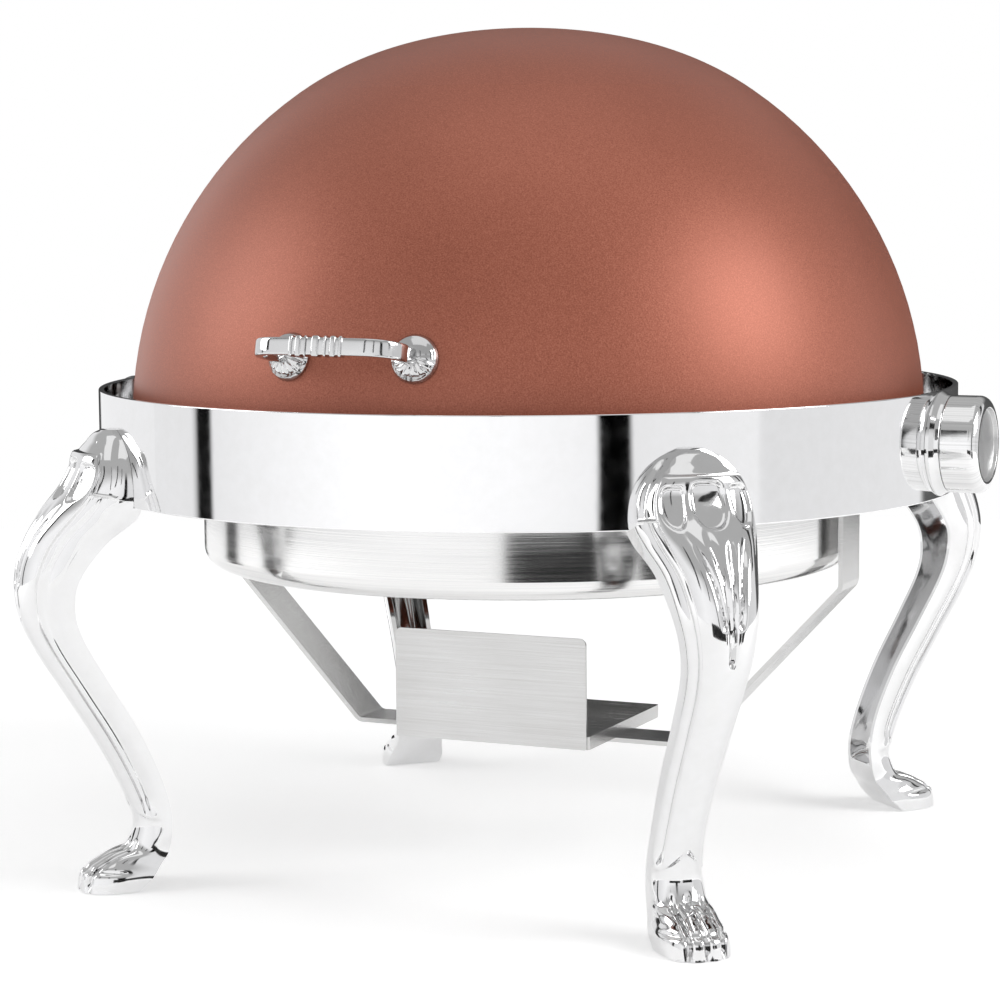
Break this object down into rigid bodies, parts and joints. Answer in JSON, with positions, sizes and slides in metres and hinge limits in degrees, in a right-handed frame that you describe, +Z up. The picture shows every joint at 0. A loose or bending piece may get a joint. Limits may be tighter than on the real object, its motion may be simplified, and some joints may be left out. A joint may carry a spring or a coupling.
{
  "type": "roll top chafer",
  "caption": "Round roll top chafer: polished band on cabriole legs, rolling copper-coloured dome lid with bow handle, lift-out pans, strap bracket and fuel tray with guard plate.",
  "frame": {"origin": "on the table, on the vertical axis of the band, level with the four soles", "axes": "+Z up, +X to the right hub along the lid's roll axis, -Y to the front, where the handle is"},
  "size_m": [0.504, 0.4685, 0.4393],
  "materials": {
    "copper_coating": "fine-grained satin metallic copper coating",
    "band_polished": "mirror polished stainless steel",
    "cast_polished": "polished plated casting",
    "pan_satin": "satin stainless steel, grain round the pan",
    "brushed_sheet": "brushed stainless sheet",
    "fastener_steel": "plain stainless steel",
    "nylon": "natural nylon",
    "silicone": "soft black silicone"
  },
  "bodies": {
    "stand": {"band_ring": "band_polished", "bracket_strap": "brushed_sheet", "friction_washer_left": "nylon", "friction_washer_right": "nylon", "fuel_tray": "brushed_sheet", "guard_plate": "brushed_sheet", "hub_base_left": "cast_polished", "hub_base_right": "cast_polished", "hub_cap_left": "cast_polished", "hub_cap_right": "cast_polished", "leg_front_left": "cast_polished", "leg_front_right": "cast_polished", "leg_rear_left": "cast_polished", "leg_rear_right": "cast_polished", "leg_screws": "fastener_steel", "leg_washers": "fastener_steel", "lid_rest_bracket": "brushed_sheet", "lid_rest_pad": "silicone", "outer_spacer_left": "fastener_steel", "outer_spacer_right": "fastener_steel", "pivot_bolt_left": "fastener_steel", "pivot_bolt_right": "fastener_steel", "pivot_nut_left": "fastener_steel", "pivot_nut_right": "fastener_steel", "pivot_sleeve_left": "fastener_steel", "pivot_sleeve_right": "fastener_steel", "support_ring": "brushed_sheet"},
    "lid": {"handle_bar": "cast_polished", "handle_rosette_left": "cast_polished", "handle_rosette_right": "cast_polished", "handle_screws": "fastener_steel", "handle_washers": "fastener_steel", "lid_bushing_left": "nylon", "lid_bushing_right": "nylon", "lid_dome": "copper_coating", "lid_pivot_plate_left": "brushed_sheet", "lid_pivot_plate_right": "brushed_sheet", "lid_plate_rivets": "fastener_steel"},
    "water_pan_body": {"water_pan": "pan_satin"},
    "food_pan_body": {"food_pan": "pan_satin"}
  },
  "joints": [
    {"name": "lid_roll", "type": "hinge", "parent": "stand", "child": "lid", "pos_m": [0, 0, 0.226], "axis": [-1, 0, 0], "range_deg": [0, 150]},
    {"name": "water_pan_lift", "type": "slide", "parent": "stand", "child": "water_pan_body", "axis": [0, 0, 1], "range_m": [0, 0.018]},
    {"name": "food_pan_lift", "type": "slide", "parent": "water_pan_body", "child": "food_pan_body", "axis": [0, 0, 1], "range_m": [0, 0.032]}
  ]
}
